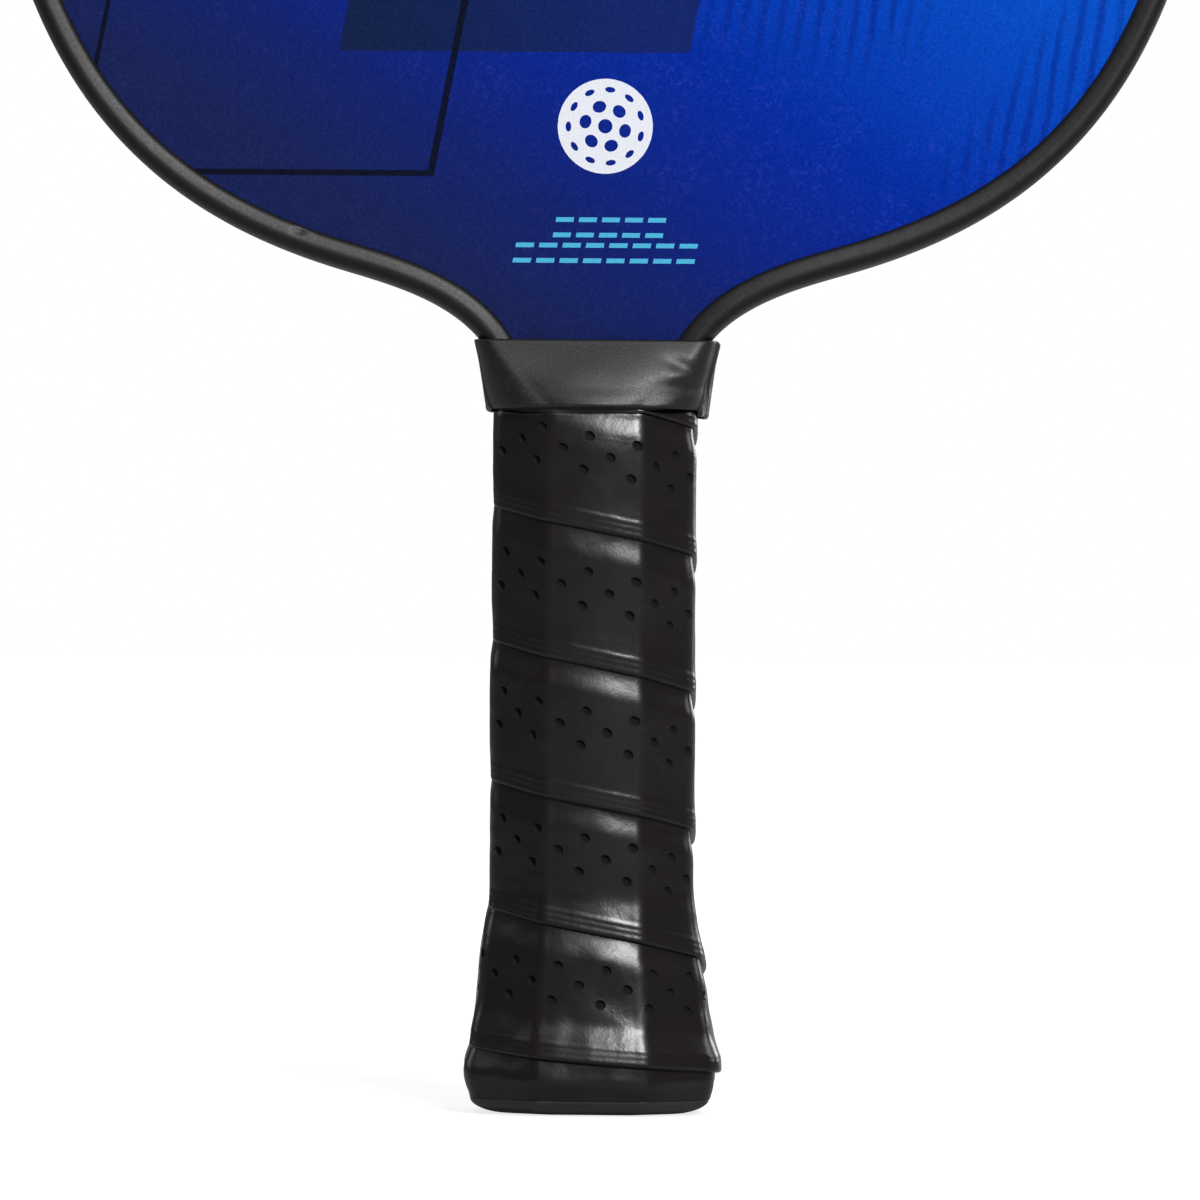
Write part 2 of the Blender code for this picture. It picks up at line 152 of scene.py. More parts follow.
# Its grid of cells, and its holes: each row's place and shift in cells, and the radius and
# depth of the rings that shape a hole
HOLE_SPACING = 7.4 * MM
HOLE_CELLS = 16
CELL = HOLE_SPACING / HOLE_CELLS
BAND_TOP = 3.4 * MM
BAND_ROWS = 20
PLAIN_ROWS = 47
HOLE_ROWS = ((13, -4), (19, 5), (25, -2))
HOLE_RINGS = ((0.81, 0.0), (0.78, 0.24), (0.66, 0.46), (0.38, 0.60))
HOLE_DEPTH = 0.66 * MM
# Name of each point's depth down a hole, which the skin's material turns into painted shade
DEPTH_NAME = "hole_depth"


# -------- curves

def monotone(table, where):
    """A smooth curve through (place, value) pairs that never overshoots them, for an array."""
    xs, ys = np.array(table, float).T
    where = np.clip(where, xs[0], xs[-1])
    steps = np.diff(xs)
    secants = np.diff(ys) / steps
    product = secants[:-1] * secants[1:]
    total = secants[:-1] + secants[1:]
    inner = np.where(product > 0, 2 * product / np.where(total == 0, 1, total), 0.0)
    slopes = np.concatenate(([secants[0]], inner, [secants[-1]]))
    i = np.clip(np.searchsorted(xs, where, "right") - 1, 0, len(xs) - 2)
    t = (where - xs[i]) / steps[i]
    rise = ys[i] * (1 + 2 * t) * (1 - t) ** 2 + ys[i + 1] * t * t * (3 - 2 * t)
    lean = steps[i] * t * (1 - t) * (slopes[i] * (1 - t) - slopes[i + 1] * t)
    return rise + lean


def ease(low, high, value):
    """A smooth step from 0 at low to 1 at high, for an array."""
    t = np.clip((value - low) / (high - low), 0.0, 1.0)
    return t * t * (3.0 - 2.0 * t)


def bell(value, middle, width):
    """A smooth bump of height 1 and about the given half width, for an array."""
    return np.exp(-((value - middle) / width) ** 2)


def uneven(points, waves):
    """Random relief in metres at each point, the sum of (height, size, seed) waves."""
    relief = np.zeros(len(points))
    for height, size, seed in waves:
        shift = Vector((seed, 2 * seed, 3 * seed))
        bumps = [noise.noise(Vector(point) / (size * MM) + shift) for point in points]
        relief += height * MM * np.array(bumps)
    return relief


def rounded_line(points):
    """More points along a smooth line through the given ones."""
    knots = np.array(points, float)
    knots = np.vstack((2 * knots[0] - knots[1], knots, 2 * knots[-1] - knots[-2]))
    line = []
    for a, b, c, d in zip(knots, knots[1:], knots[2:], knots[3:]):
        for t in (0, 1 / 3, 2 / 3):
            line.append(0.5 * (
                2 * b + (c - a) * t + (2 * a - 5 * b + 4 * c - d) * t * t
                + (3 * b - a - 3 * c + d) * t ** 3
            ))
    line.append(knots[-2])
    return np.array(line)


def edge_half():
    """Points up the right half of the guard's outer edge, each with its inward direction."""
    along = np.array((cos(SHOULDER_ANGLE), sin(SHOULDER_ANGLE)))
    neck, shoulder = np.array(NECK_END), np.array(SHOULDER)
    widest = np.array((HEAD_HALF_WIDTH, WIDEST_Z))
    tip = np.array((0.0, PADDLE_LENGTH))
    curves = (
        (neck, neck + (0, 17 * MM), shoulder - 11 * MM * along, shoulder),
        (shoulder, shoulder + 43.7 * MM * along, widest - (0, 74.7 * MM), widest),
        (widest, widest + (0, 84 * MM), tip + (65 * MM, 0), tip),
    )
    places, inwards = [], []
    for (a, b, c, d), steps in zip(curves, EDGE_STEPS):
        for t in np.arange(steps) / steps:
            s = 1 - t
            places.append(a * s ** 3 + 3 * b * s * s * t + 3 * c * s * t * t + d * t ** 3)
            slope = (b - a) * s * s + 2 * (c - b) * s * t + (d - c) * t * t
            inwards.append(np.array((-slope[1], slope[0])) / np.linalg.norm(slope))
    return np.array(places), np.array(inwards), tip


# -------- meshes

def add_object(name, data):
    """A new object in the scene."""
    made = bpy.data.objects.new(name, data)
    bpy.context.collection.objects.link(made)
    return made


def add_piece(name, vertices, faces, material, node=None, sharp=45.0):
    """A smooth-shaded piece that rides on the paddle and may stand for a CAD node."""
    mesh = bpy.data.meshes.new(name)
    mesh.from_pydata([tuple(vertex) for vertex in vertices], [], faces)
    bm = bmesh.new()
    bm.from_mesh(mesh)
    bmesh.ops.recalc_face_normals(bm, faces=bm.faces)
    bm.to_mesh(mesh)
    bm.free()
    mesh.shade_smooth()
    mesh.set_sharp_from_angle(angle=radians(sharp))
    mesh.materials.append(material)
    piece = add_object(name, mesh)
    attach(piece, BODY)
    if node:
        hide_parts(node)
    return piece


def grid_faces(rows, columns, wrap_rows=False):
    """Faces between rows of vertices that each close into a ring."""
    faces = []
    for r in range(rows if wrap_rows else rows - 1):
        low, high = r * columns, (r + 1) % rows * columns
        for c in range(columns):
            d = (c + 1) % columns
            faces.append((low + c, low + d, high + d, high + c))
    return faces


def section_point(turn, half_x, half_y, front, side, offset, inset=CORNER_INSET, crown=0.0):
    """Points round a rounded eight-sided section. All values may be arrays. The corners'
    rounding is the inset plus the offset. The crown is how far the middle of the front and the
    rear stands out, and the other sides have a share of it."""
    turn, half_x, half_y, front, side, offset = np.broadcast_arrays(
        turn % 1.0, half_x, half_y, front, side, offset
    )
    hx, hy = half_x - inset, half_y - inset
    f, s = front - 0.325 * inset, side - 0.51 * inset
    corners = np.array((
        (-f, -hy), (f, -hy), (hx, -s), (hx, s), (f, hy), (-f, hy), (-hx, s), (-hx, -s),
    ))
    spans = np.roll(corners, -1, axis=0) - corners
    lengths = np.hypot(spans[:, 0], spans[:, 1])
    normals = np.stack((spans[:, 1], -spans[:, 0]), axis=1) / lengths[:, None]
    marks = section_marks()
    piece = np.searchsorted(marks, turn, "right") - 1
    t = (turn - marks[piece]) / (marks[piece + 1] - marks[piece])
    # Pieces are half the front, then corner and side in turn, and half the front again
    number = (piece + 1) // 2
    along = np.where(piece == 0, 0.5 + t / 2, np.where(piece == 16, t / 2, t))
    is_side = piece % 2 == 0
    start = number % 8
    before = np.where(is_side, start, (start - 1) % 8)

    def chosen(values, index):
        return np.take_along_axis(values, index[None, None], axis=0)[0]

    point = chosen(corners, start) + np.where(is_side, along * chosen(spans, start), 0.0)
    first, second = chosen(normals, before), chosen(normals, start)
    normal = np.where(is_side, second, first * (1 - t) + second * t)
    crown = np.where(number % 4 == 0, crown, SIDE_CROWN_SHARE * crown)
    reach = offset + inset + crown * np.where(is_side, 4 * along * (1 - along), 0.0)
    return point + normal / np.hypot(*normal) * reach


def section_marks():
    """Where each side and corner of the bare handle's section starts, in turns."""
    half_x, half_y = HANDLE_HALF_WIDTH, HANDLE_HALF_WIDTH - THICKNESS_LESS
    front, side = FRONT_FACET * half_x, SIDE_FACET * half_y
    bevel = hypot(half_x - front, half_y - side)
    radius = CORNER_INSET + 1.9 * MM
    tilt = atan2(half_y - side, half_x - front)
    quarter = [radius * tilt, bevel, radius * (pi / 2 - tilt)]
    pieces = [front, *quarter, 2 * side, *reversed(quarter), 2 * front, *quarter]
    pieces += [2 * side, *reversed(quarter), front]
    marks = np.concatenate(([0.0], np.cumsum(pieces)))
    return marks / marks[-1]


def front_facet(half_x):
    """Half the front's width, which spreads less than the handle does where that flares."""
    base = FRONT_FACET * HANDLE_HALF_WIDTH
    return base + FRONT_FACET_SPREAD * (FRONT_FACET * half_x - base)


def handle_section(height):
    """The eight-sided section under the grip at a height: its sizes for section_point."""
    half_x = monotone(FLARE, height / MM) * MM
    half_y = half_x - THICKNESS_LESS
    return half_x, half_y, front_facet(half_x), SIDE_FACET * half_y


# -------- shaders

def srgb(red, green, blue):
    """A linear colour from 8-bit screen values."""
    def linear(value):
        value /= 255.0
        return value / 12.92 if value <= 0.04045 else ((value + 0.055) / 1.055) ** 2.4
    return tuple(linear(value) for value in (red, green, blue))


class Look:
    """A Principled material, with short ways to add nodes to it."""

    def __init__(self, name, **settings):
        self.material = bpy.data.materials.new(name)
        self.material.use_nodes = True
        self.tree = self.material.node_tree
        self.shader = self.tree.nodes["Principled BSDF"]
        self.place = self.node("TexCoord").outputs["Object"]
        for label, value in settings.items():
            self.set(label.replace("_", " "), value)

    def feed(self, socket, value):
        """Link an output into a socket, or set the socket's value."""
        if isinstance(value, bpy.types.NodeSocket):
            self.tree.links.new(value, socket)
        elif isinstance(value, tuple) and socket.type == "RGBA":
            socket.default_value = (*value[:3], 1.0)
        else:
            socket.default_value = value

    def set(self, label, value):
        """Set or link one of the shader's own sockets."""
        self.feed(self.shader.inputs[label], value)

    def node(self, kind, *inputs, **settings):
        """Add a node, with values for its first sockets, and for other sockets or settings."""
        made = self.tree.nodes.new("ShaderNode" + kind)
        for label, value in settings.items():
            if label in made.inputs:
                self.feed(made.inputs[label], value)
            else:
                setattr(made, label, value)
        for socket, value in zip(made.inputs, inputs):
            if value is not None:
                self.feed(socket, value)
        return made

    def math(self, operation, *values):
        """The result of a Math node."""
        return self.node("Math", *values, operation=operation).outputs[0]

    def times(self, first, second):
        """Two numbers multiplied."""
        return self.math("MULTIPLY", first, second)

    def axes(self):
        """The object's X, Y and Z in millimetres."""
        scaled = self.node("VectorMath", self.place, operation="SCALE", Scale=1 / MM)
        return self.node("SeparateXYZ", scaled.outputs[0]).outputs

    def stretched(self, x=1.0, y=1.0, z=1.0, turn=0.0):
        """Object coordinates turned about Y, then multiplied along each axis."""
        turned = self.node("VectorRotate", self.place, rotation_type="Y_AXIS", Angle=turn)
        scaled = self.node("VectorMath", turned.outputs[0], (x, y, z), operation="MULTIPLY")
        return scaled.outputs[0]

    def noise(self, size, detail=2.0, roughness=0.5, vector=None, distortion=0.0):
        """Noise between 0 and 1 with features of about the given size in metres."""
        return self.node("TexNoise", vector or self.place, Scale=1.0 / size, Detail=detail,
                         Roughness=roughness, Distortion=distortion).outputs["Fac"]

    def cells(self, size, feature="F1"):
        """Distance within random cells of about the given size in metres."""
        made = self.node("TexVoronoi", self.place, feature=feature, Scale=1.0 / size)
        return made.outputs["Distance"]

    def fit(self, value, low, high, to_low=0.0, to_high=1.0):
        """Map a range smoothly onto another, held at its ends."""
        return self.node("MapRange", value, low, high, to_low, to_high,
                         interpolation_type="SMOOTHSTEP").outputs["Result"]

    def within(self, *edges):
        """1 inside every edge, else 0. Each is a value, where it is still 0, and where it is 1."""
        inside = 1.0
        for value, none, full in edges:
            inside = self.times(inside, self.fit(value, none, full))
        return inside

    def mix(self, factor, first, second, blend="MIX"):
        """Mix two colours."""
        made = self.node("Mix", factor, data_type="RGBA", blend_type=blend)
        self.feed(made.inputs[6], first)
        self.feed(made.inputs[7], second)
        return made.outputs[2]

    def ramp(self, factor, stops):
        """A colour ramp through (place, colour) stops."""
        made = self.node("ValToRGB", factor)
        elements = made.color_ramp.elements
        while len(elements) < len(stops):
            elements.new(0.5)
        for element, (place, colour) in zip(elements, stops):
            element.position = place
            element.color = (*colour, 1.0)
        return made.outputs[0]

    def done(self, colour, roughness, relief):
        """The material, with the shader's colour, roughness and relief set."""
        self.set("Base Color", colour)
        self.set("Roughness", roughness)
        self.set("Normal", relief)
        return self.material

    def bump(self, height, depth, under=None):
        """Relief from a height of 0 to 1, on top of other relief if there is any."""
        made = self.node("Bump", Distance=depth, Height=height)
        if under is not None:
            self.feed(made.inputs["Normal"], under)
        return made.outputs[0]


def mottled(name, colour, roughness, grain, depth, **settings):
    """A plain stuff with a fine grain, slightly uneven in colour and gloss."""
    look = Look(name, **settings)
    fine = look.noise(grain, detail=3.0)
    broad = look.noise(grain * 14)
    dark, light = (tuple(min(1.0, value * share) for value in colour) for share in (0.88, 1.12))
    return look.done(
        look.mix(look.fit(broad, 0.3, 0.7), dark, light),
        look.fit(fine, 0.3, 0.7, roughness - 0.05, roughness + 0.05),
        look.bump(fine, depth),
    )


# -------- face graphics

# The glow's colours by distance along its direction, the block's and the frame's lower left
# and right corners, bottom and top, and the fields of lines, with a lean and a phase as well
LEAN = 0.19
GLOW_ANGLE = radians(57)
GLOW = (
    (100, (21, 31, 76)), (118, (15, 30, 99)), (136, (6, 33, 127)), (151, (0, 38, 143)),
    (165, (0, 52, 160)), (190, (0, 69, 178)), (235, (6, 89, 194)), (330, (22, 114, 210)),
)
BLOCK = (-41.4, 14.7, 169.8, 270.0)
FRAME = (-84.0, -26.1, 149.8, 250.0)
FRAME_LINE = 0.95
LINE_FIELDS = ((-22, 26, 162, 330, 0.17, 0.0), (-62, 70, 128, 300, 0.746, 1.3))
LINE_LEAN = 0.17
LINE_PITCH = 2.9


def slanted_box(look, x, z, left, right, low, high, soft=0.08):
    """1 inside a leaning block whose lower corners are left and right, else 0."""
    rise = look.math("SUBTRACT", z, low)
    upright = look.math("SUBTRACT", x, look.times(rise, LEAN))
    return look.within(
        (upright, left - soft, left + soft), (upright, right + soft, right - soft),
        (z, low - soft, low + soft), (z, high + soft, high - soft),
    )


def line_field(look, x, z, left, right, low, high, slant, phase):
    """Fine leaning lines, a little wavy and broken, that fade out towards the edges of their
    field, whose left edge leans by the slant."""
    leaning = look.math("SUBTRACT", x, look.times(z, LINE_LEAN))
    sway = look.noise(9 * MM, vector=look.stretched(1.0, 0.0, 0.6))
    wavy = look.math("ADD", leaning, look.times(sway, 2.2))
    angle = look.times(look.math("ADD", wavy, phase), 2 * pi / LINE_PITCH)
    lines = look.fit(look.math("SINE", angle), -0.2, 0.95)
    broken = look.noise(5 * MM, vector=look.stretched(2.0, 0.0, 0.35))
    lines = look.times(lines, look.fit(broken, 0.28, 0.56, 0.30, 1.0))
    rising = look.math("SUBTRACT", x, look.times(z, slant))
    edges = look.within((rising, left, left + 9), (leaning, right, right - 9),
                        (z, low, low + 14), (z, high, high - 70))
    return look.times(lines, edges)


def graphic_look():
    """The printed film: a blue glow with flecks, a dark block, a thin frame and fine lines. The
    rear's print is turned round, so that it reads like the front's."""
    look = Look("blue_graphic", Specular_IOR_Level=0.03)
    across, depth, z = look.axes()[:3]
    facing = look.times(look.math("SIGN", depth), -1.0)
    x = look.times(across, facing)
    glow = look.math("ADD", look.times(x, cos(GLOW_ANGLE)), look.times(z, sin(GLOW_ANGLE)))
    low, high = GLOW[0][0], GLOW[-1][0]
    stops = [((place - low) / (high - low), srgb(*colour)) for place, colour in GLOW]
    spread = look.node("MapRange", glow, low, high, 0.0, 1.0).outputs["Result"]
    colour = look.ramp(spread, stops)

    lines = look.math("MAXIMUM", *(line_field(look, x, z, *field) for field in LINE_FIELDS))
    colour = look.mix(look.times(lines, 0.62), colour, srgb(1, 33, 126))

    flecks = look.fit(look.noise(0.62 * MM, roughness=0.7), 0.50, 0.68)
    patches = look.fit(look.noise(7 * MM, detail=4.0, roughness=0.7), 0.40, 0.62, 0.15, 1.0)
    strength = look.fit(glow, 140, 185, 0.42, 0.10)
    flecks = look.times(look.times(flecks, patches), strength)
    shade = look.mix(look.fit(glow, 110, 165), srgb(38, 40, 104), srgb(42, 62, 180))
    colour = look.mix(flecks, colour, shade)

    block = slanted_box(look, x, z, *BLOCK)
    shade = look.mix(look.fit(x, -40, 16), srgb(16, 29, 61), srgb(17, 32, 90))
    colour = look.mix(look.times(block, 0.92), colour, shade)

    outer = slanted_box(look, x, z, *FRAME)
    left, right, bottom, top = FRAME
    inner = slanted_box(look, x, look.math("SUBTRACT", z, FRAME_LINE), left + FRAME_LINE,
                        right - FRAME_LINE, bottom, top - 2 * FRAME_LINE)
    line = look.math("SUBTRACT", outer, inner)
    colour = look.mix(look.times(line, 0.93), colour, srgb(10, 14, 26))

    grain = look.noise(0.32 * MM, roughness=0.7)
    darker = look.fit(grain, 0.25, 0.75, 0.80, 1.20)
    grit = look.bump(look.cells(0.55 * MM, "SMOOTH_F1"), 0.012 * MM)
    return look.done(
        look.mix(1.0, colour, darker, "MULTIPLY"),
        look.fit(grain, 0.3, 0.7, 0.30, 0.40),
        look.bump(grain, 0.015 * MM, grit),
    )


# -------- rubber, plastic and grip

def guard_look():
    """Moulded rubber with a satin skin, a fine grain and faint scuffs."""
    look = Look("guard_rubber", Specular_IOR_Level=0.32)
    grain = look.noise(0.35 * MM, detail=3.0, roughness=0.6)
    scuff = look.noise(4 * MM, detail=4.0, roughness=0.7, distortion=0.6)
    return look.done(
        look.mix(look.fit(scuff, 0.52, 0.75), srgb(17, 16, 16), srgb(25, 24, 23)),
        look.fit(grain, 0.25, 0.75, 0.42, 0.50),
        look.bump(grain, 0.012 * MM, look.bump(scuff, 0.05 * MM)),
    )


def tape_look():
    """The grip's synthetic leather: black, tacky, softly creased and pebbled, and dull
    down its holes, where its colour is darkened with depth as painted shade."""
    look = Look("grip_skin", Specular_IOR_Level=0.42)
    pebble = look.cells(0.42 * MM, "SMOOTH_F1")
    crease = look.noise(4.5 * MM, detail=3.0, roughness=0.55, distortion=0.5)
    rubbed = look.noise(11 * MM, detail=3.0)
    # Depth down the holes: it darkens the colour towards near black as painted shade, and dulls
    # the gloss
    depth = look.node("Attribute", attribute_name=DEPTH_NAME).outputs["Fac"]
    skin = look.mix(look.fit(rubbed, 0.35, 0.7), srgb(17, 14, 11), srgb(25, 22, 21))
    gloss = look.fit(rubbed, 0.3, 0.7, 0.33, 0.24)
    return look.done(
        look.mix(look.fit(depth, 0.0, 0.7), skin, srgb(6, 5, 5)),
        look.math("MAXIMUM", gloss, look.fit(depth, 0.0, 0.4)),
        look.bump(pebble, 0.006 * MM, look.bump(crease, 0.09 * MM)),
    )


def collar_look():
    """Stretched matte rubber with a dusty, speckled bloom."""
    look = Look("collar_rubber", Specular_IOR_Level=0.5)
    speck = look.noise(0.28 * MM, roughness=0.75)
    bloom = look.noise(5 * MM, detail=3.0)
    base = look.mix(look.fit(bloom, 0.35, 0.7), srgb(11, 9, 9), srgb(15, 13, 13))
    return look.done(
        look.mix(look.fit(speck, 0.48, 0.72, 0.0, 0.20), base, srgb(66, 64, 66)),
        look.fit(speck, 0.3, 0.7, 0.40, 0.52),
        look.bump(speck, 0.035 * MM),
    )


def cap_look():
    """The butt cap's moulded plastic, with a spark-eroded texture."""
    look = Look("cap_plastic", Specular_IOR_Level=0.5)
    broad = look.noise(6 * MM)
    return look.done(
        look.mix(look.fit(broad, 0.35, 0.7), srgb(40, 38, 38), srgb(48, 46, 46)),
        look.fit(broad, 0.3, 0.7, 0.40, 0.52),
        look.bump(look.cells(0.35 * MM, "SMOOTH_F1"), 0.02 * MM),
    )


def ink_look(name, colour):
    """Screen-printed ink, a little uneven."""
    look = Look(name, Specular_IOR_Level=0.4)
    fine = look.noise(0.3 * MM, detail=3.0, roughness=0.7)
    dull = tuple(value * 0.86 for value in colour)
    return look.done(
        look.mix(look.fit(fine, 0.3, 0.7), dull, colour),
        look.fit(fine, 0.3, 0.7, 0.45, 0.6),
        look.bump(fine, 0.01 * MM),
    )


def weave_look(tow_pair=1.6):
    """Glass fabric in clear resin: two sets of tows crossing over and under."""
    look = Look("fibreglass", Specular_IOR_Level=0.5)
    across, _, up = look.axes()[:3]
    waves = [
        look.math("SINE", look.times(value, 2 * pi / tow_pair))
        for value in (across, up)
    ]
    weave = look.fit(look.times(*waves), -1.0, 1.0)
    resin = look.fit(look.noise(7 * MM), 0.4, 0.7, 0.0, 0.3)
    glass = look.mix(weave, srgb(150, 158, 140), srgb(188, 194, 178))
    return look.done(
        look.mix(resin, glass, srgb(172, 164, 120)),
        look.fit(weave, 0.0, 1.0, 0.35, 0.5),
        look.bump(weave, 0.05 * MM),
    )


def fleece_look():
    """The core's thin fleece: long tangled fibres."""
    look = Look("scrim_fleece", Specular_IOR_Level=0.2)
    layers = [
        look.noise(1.2 * MM, detail=4.0, vector=look.stretched(6.0, turn=angle))
        for angle in (0.7, -0.6)
    ]
    fibres = look.math("MAXIMUM", *layers)
    return look.done(
        look.mix(look.fit(fibres, 0.45, 0.7), srgb(196, 195, 186), srgb(236, 235, 228)),
        look.fit(fibres, 0.4, 0.7, 0.8, 0.95),
        look.bump(fibres, 0.06 * MM),
    )


def steel_look():
    """Drawn staple wire."""
    look = Look("staple_steel", Metallic=1.0)
    drawn = look.noise(0.2 * MM, detail=3.0, vector=look.stretched(0.1))
    return look.done(
        look.mix(look.fit(drawn, 0.3, 0.7), srgb(186, 187, 190), srgb(214, 215, 217)),
        look.fit(drawn, 0.3, 0.7, 0.22, 0.38),
        look.bump(drawn, 0.01 * MM),
    )


def foam_look(name, colour, cell):
    """Closed-cell foam."""
    look = Look(name, Specular_IOR_Level=0.25)
    pores = look.cells(cell)
    shade = tuple(value * 0.7 for value in colour)
    return look.done(
        look.mix(look.fit(pores, 0.1, 0.6), shade, colour),
        look.fit(pores, 0.0, 0.7, 0.95, 0.8),
        look.bump(pores, cell * 0.3),
    )


def dress_inner_nodes(graphic):
    """Materials for the CAD nodes that are shown as they are."""
    glue = mottled("adhesive", srgb(214, 196, 140), 0.35, 1.5 * MM, 0.03 * MM)
    tape = mottled("tape_backing", srgb(206, 205, 198), 0.6, 0.4 * MM, 0.02 * MM)
    pallet = foam_look("pallet_foam", srgb(205, 186, 150), 0.9 * MM)
    weave, fleece, steel = weave_look(), fleece_look(), steel_look()
    looks = {
        "honeycomb_core": mottled("core_plastic", srgb(226, 230, 226), 0.45, 0.5 * MM, 0.02 * MM,
                                  Subsurface_Weight=0.2, Subsurface_Scale=2 * MM),
        "edge_guard_tape": tape,
        "finishing_tape": mottled("finishing_vinyl", srgb(26, 26, 28), 0.35, 0.6 * MM, 0.02 * MM),
        "grip_foam_backing": foam_look("grip_foam", srgb(24, 23, 23), 0.5 * MM),
    }
    for place in ("front", "rear"):
        looks |= {
            f"{place}_core_scrim": fleece,
            f"{place}_adhesive_film": glue,
            f"{place}_face_sheet": weave,
            f"{place}_graphic_film": graphic,
            f"{place}_handle_pallet": pallet,
            f"{place}_pallet_tape": tape,
            f"cap_staple_{place}_left": steel,
            f"cap_staple_{place}_right": steel,
        }
    for name, material in looks.items():
        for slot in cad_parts[name].material_slots:
            slot.material = material


# -------- edge guard

def build_guard():
    """The U channel bent round the head, with its soft waves and a nick in its left leg."""
    outside = rounded_line(GUARD_OUTSIDE)
    inside = np.array(GUARD_INSIDE)
    half = np.vstack((outside, inside))
    other = half[::-1] * (1, -1)
    section = np.vstack((half, other[:-1])) * MM

    places, inwards, tip = edge_half()
    places, inwards = places[HIDDEN_EDGE_STEPS:], inwards[HIDDEN_EDGE_STEPS:]
    mirror = np.array((-1.0, 1.0))
    places = np.vstack((places, [tip], places[::-1] * mirror))
    inwards = np.vstack((inwards, [(0.0, -1.0)], inwards[::-1] * mirror))

    flat = places[:, None] + section[:, :1] * inwards[:, None]
    depth = np.broadcast_to(section[:, 1], flat.shape[:2])
    points = np.stack((flat[..., 0], depth, flat[..., 1]), axis=-1)
    x, y, z = np.moveaxis(points, -1, 0)

    # Only the outer skin of the two legs is uneven
    skin = np.concatenate((np.ones(len(outside)), np.zeros(2 * len(inside)),
                           np.ones(len(outside) - 1)))
    skin *= (np.abs(section[:, 1]) > GUARD_COVER_Y) & (section[:, 0] < 4.35 * MM)
    side = np.sign(section[:, 1])
    flat = points.reshape(-1, 3)
    wave = uneven(flat, GUARD_WAVES).reshape(points.shape[:2])
    y += (wave - GUARD_SET_BACK) * skin * side
    front = (side < 0) * skin
    nick_x, nick_z = GUARD_NICK
    cut = np.hypot(x - nick_x, (z - nick_z) * 1.5)
    y += NICK_DEPTH * bell(cut, 0.0, 0.8 * MM) * front
    burr = np.hypot(x - nick_x - 1.5 * MM, z - nick_z - 0.5 * MM)
    y -= NICK_BURR * bell(burr, 0.0, 0.7 * MM) * front

    count = len(section)
    faces = grid_faces(len(points), count)
    faces.append(tuple(range(count)))
    faces.append(tuple(range((len(points) - 1) * count, len(points) * count))[::-1])
    faces = [face[::-1] for face in faces]
    return add_piece("edge_guard_moulding", flat, faces, guard_look(), "edge_guard")


# -------- grip tape

def seam_height(turn):
    """Height of the tape's lower edge where the turn above overlaps it, in metres."""
    return monotone(SEAM_HEIGHTS, turn) * MM


def tape_columns():
    """The turn of each column of cells, equally spaced along the tape as it winds down."""
    turns = [TAPE_TURNS[0]]
    while turns[-1] < TAPE_TURNS[1]:
        middle = max(seam_height(turns[-1]) - 10 * MM, 2 * MM)
        extra = handle_section(middle)[0] - HANDLE_HALF_WIDTH
        turns.append(turns[-1] + CELL / (TAPE_GIRTH + GIRTH_GROWTH * extra))
    return np.array(turns)


def tape_rows():
    """How far each row of cells lies above the tape's lower edge, closest where that rolls in."""
    band = BAND_TOP * (np.arange(BAND_ROWS) / BAND_ROWS)
    band[1] *= 0.55
    plain = BAND_TOP + CELL * np.arange(PLAIN_ROWS + 1)
    return np.concatenate(([0.0, 0.03 * MM], band[1:], plain))


def squeezed(above, room, full):
    """Row distances, drawn in smoothly where there is room for less than the full width."""
    room = np.minimum(room, full)
    kept = np.maximum(room - 3 * MM, room / 2)
    scale = np.maximum(room - kept, 1e-7)
    t = np.maximum(above - kept, 0.0) / scale
    last = (full - kept) / scale
    drawn = kept + scale * (t / (1 + t)) * ((1 + last) / last)
    return np.where(above <= kept, above, drawn)


def tape_outside(turn, above, pitch):
    """How far the tape's outer surface stands off the handle."""
    below_seam = pitch - above
    sag = monotone(SEAM_SAG, turn) * MM
    reach = TAPE_REACH + sag * ease(0.0, SAG_WIDTH, below_seam)
    reach += np.minimum(below_seam, 0.0) * 0.06

    # Where the lap is pressed flat, the hollow under it is filled and its edge lies lower
    pressed = 0.7 * bell(turn % 1.0, *PRESSED_SIDE)
    reach += SEAM_FILL * pressed * (1 - ease(0.0, SAG_WIDTH, below_seam)) * ease(
        -1 * MM, 0.4 * MM, below_seam)
    reach -= EDGE_PRESS * pressed * (1 - ease(0.0, 6 * MM, above))

    # The band along the lower edge has two pressed lines, and ends before the last half turn
    strength = 1 - ease(4.55, 4.95, turn)
    band = 0.07 * MM * (1 - ease(2.5 * MM, 3.3 * MM, above))
    step = monotone(TAPE_STEP, turn)
    start = STEP_WIDENING * (step - PLAIN_STEP)
    band += step * MM * (1 - ease(start * MM, 6.5 * MM, above))
    groove = 0.028 * MM * (1 - 0.5 * ease(3.0, 4.2, turn))
    for middle in GROOVES:
        band -= groove * bell(above, middle, GROOVE_WIDTH)
    reach += band * strength * (1 - pressed)

    # The edge itself is rolled in
    lip = 1 - np.clip(above / (0.5 * MM), 0.0, 1.0)
    roll = 0.05 * MM + 0.37 * MM * strength
    return reach - roll * (1 - np.sqrt(np.maximum(1 - lip ** 2, 0.0)))


def tape_inside(above):
    """How far the tape's inner surface stands off the handle."""
    return 1.50 * MM - 0.10 * MM * ease(0, 3.2 * MM, above) - 0.38 * MM * ease(
        3.2 * MM, 5 * MM, above)


